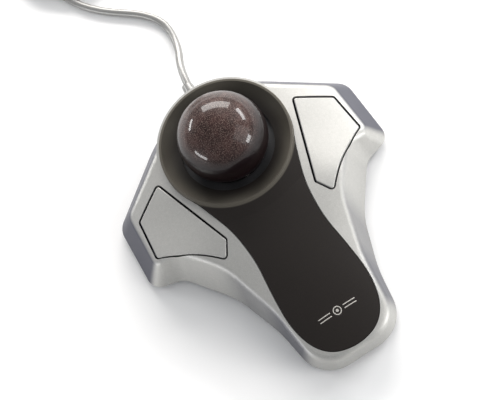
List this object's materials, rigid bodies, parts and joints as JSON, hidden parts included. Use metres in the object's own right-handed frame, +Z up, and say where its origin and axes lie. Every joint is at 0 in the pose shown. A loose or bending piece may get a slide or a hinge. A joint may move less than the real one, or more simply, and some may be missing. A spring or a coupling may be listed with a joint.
{
  "type": "trackball mouse",
  "caption": "Corded desktop trackball mouse: exposed ball in a dark collar and palm rest, two wing buttons on a three-lobed silver shell.",
  "frame": {"origin": "middle of the mouse's footprint on the desk, cord and plug left out", "axes": "+X to the user's right, +Y away from the user towards the cord, +Z up from the desk"},
  "size_m": [0.1242, 0.294, 0.052],
  "materials": {
    "silver_plastic": "satin silver plastic",
    "dark_soft_plastic": "soft dark plastic",
    "black_plastic": "matt black plastic",
    "ball_resin": "polished speckled resin",
    "ceramic": "polished",
    "label_paper": "printed film",
    "rubber": "soft",
    "screw_steel": "plated",
    "pin_steel": "ground",
    "circuit_board": "solder mask",
    "chip_black": "moulded",
    "clear_lens": "clear",
    "clear_led": "clear red",
    "component_grey": "moulded",
    "connector_white": "moulded",
    "bracket_plastic": "moulded",
    "switch_black": "moulded",
    "plunger_white": "moulded",
    "lead_insulation": "vinyl",
    "cable_jacket": "silver grey vinyl",
    "tie_plastic": "vinyl coated wire",
    "plug_plastic": "moulded grip",
    "plug_steel": "plated",
    "plug_insulator": "moulded",
    "contact_gold": "plated"
  },
  "bodies": {
    "housing": {"top_shell": "silver_plastic", "palm_rest": "dark_soft_plastic", "ball_cup": "black_plastic", "support_bearings": "ceramic", "base_plate": "black_plastic", "rating_label": "label_paper", "rubber_feet": "rubber", "case_screws": "screw_steel", "main_board": "circuit_board", "sensor_chip": "chip_black", "sensor_lens": "clear_lens", "illumination_led": "clear_led", "led_holder": "black_plastic", "controller_chip": "chip_black", "board_components": "component_grey", "cable_connector": "connector_white", "left_hinge_pin": "pin_steel", "left_pivot_bracket": "bracket_plastic", "left_switch_board": "circuit_board", "left_switch": "switch_black", "right_hinge_pin": "pin_steel", "right_pivot_bracket": "bracket_plastic", "right_switch_board": "circuit_board", "right_switch": "switch_black", "board_screws": "screw_steel", "switch_leads": "lead_insulation", "cable_leads": "lead_insulation", "usb_cable": "cable_jacket", "strain_relief": "cable_jacket", "cable_coil": "cable_jacket", "cable_tie": "tie_plastic", "plug_lead": "cable_jacket", "plug_overmold": "plug_plastic", "plug_shell": "plug_steel", "plug_insert": "plug_insulator", "plug_contacts": "contact_gold"},
    "ball_cross_axis": {"ball_core": "ball_resin"},
    "ball": {"ball_shell": "ball_resin"},
    "left_button": {"left_button": "silver_plastic"},
    "right_button": {"right_button": "silver_plastic"},
    "left_plunger": {"left_switch_plunger": "plunger_white"},
    "right_plunger": {"right_switch_plunger": "plunger_white"}
  },
  "joints": [
    {"name": "ball_roll_x", "type": "hinge", "parent": "housing", "child": "ball_cross_axis", "pos_m": [0, 0.0365, 0.032], "axis": [1, 0, 0], "continuous": true},
    {"name": "ball_roll_y", "type": "hinge", "parent": "ball_cross_axis", "child": "ball", "pos_m": [0, 0.0365, 0.032], "axis": [0, 1, 0], "continuous": true},
    {"name": "left_button_press", "type": "hinge", "parent": "housing", "child": "left_button", "pos_m": [-0.026, -0.0035, 0.0165], "axis": [-0.8, -0.6, 0], "range_deg": [0, 1.2], "stiffness_Nm_per_rad": 1.6, "springref_deg": -0.69},
    {"name": "right_button_press", "type": "hinge", "parent": "housing", "child": "right_button", "pos_m": [0.026, -0.0035, 0.0165], "axis": [-0.8, 0.6, 0], "range_deg": [0, 1.2], "stiffness_Nm_per_rad": 1.6, "springref_deg": -0.69},
    {"name": "left_plunger_travel", "type": "slide", "parent": "housing", "child": "left_plunger", "axis": [0, 0, -1], "range_m": [0, 0.00057]},
    {"name": "right_plunger_travel", "type": "slide", "parent": "housing", "child": "right_plunger", "axis": [0, 0, -1], "range_m": [0, 0.00057]}
  ],
  "couplings": [
    {"joint": "left_plunger_travel", "follows": "left_button_press", "m_per_rad": 0.027},
    {"joint": "right_plunger_travel", "follows": "right_button_press", "m_per_rad": 0.027}
  ]
}
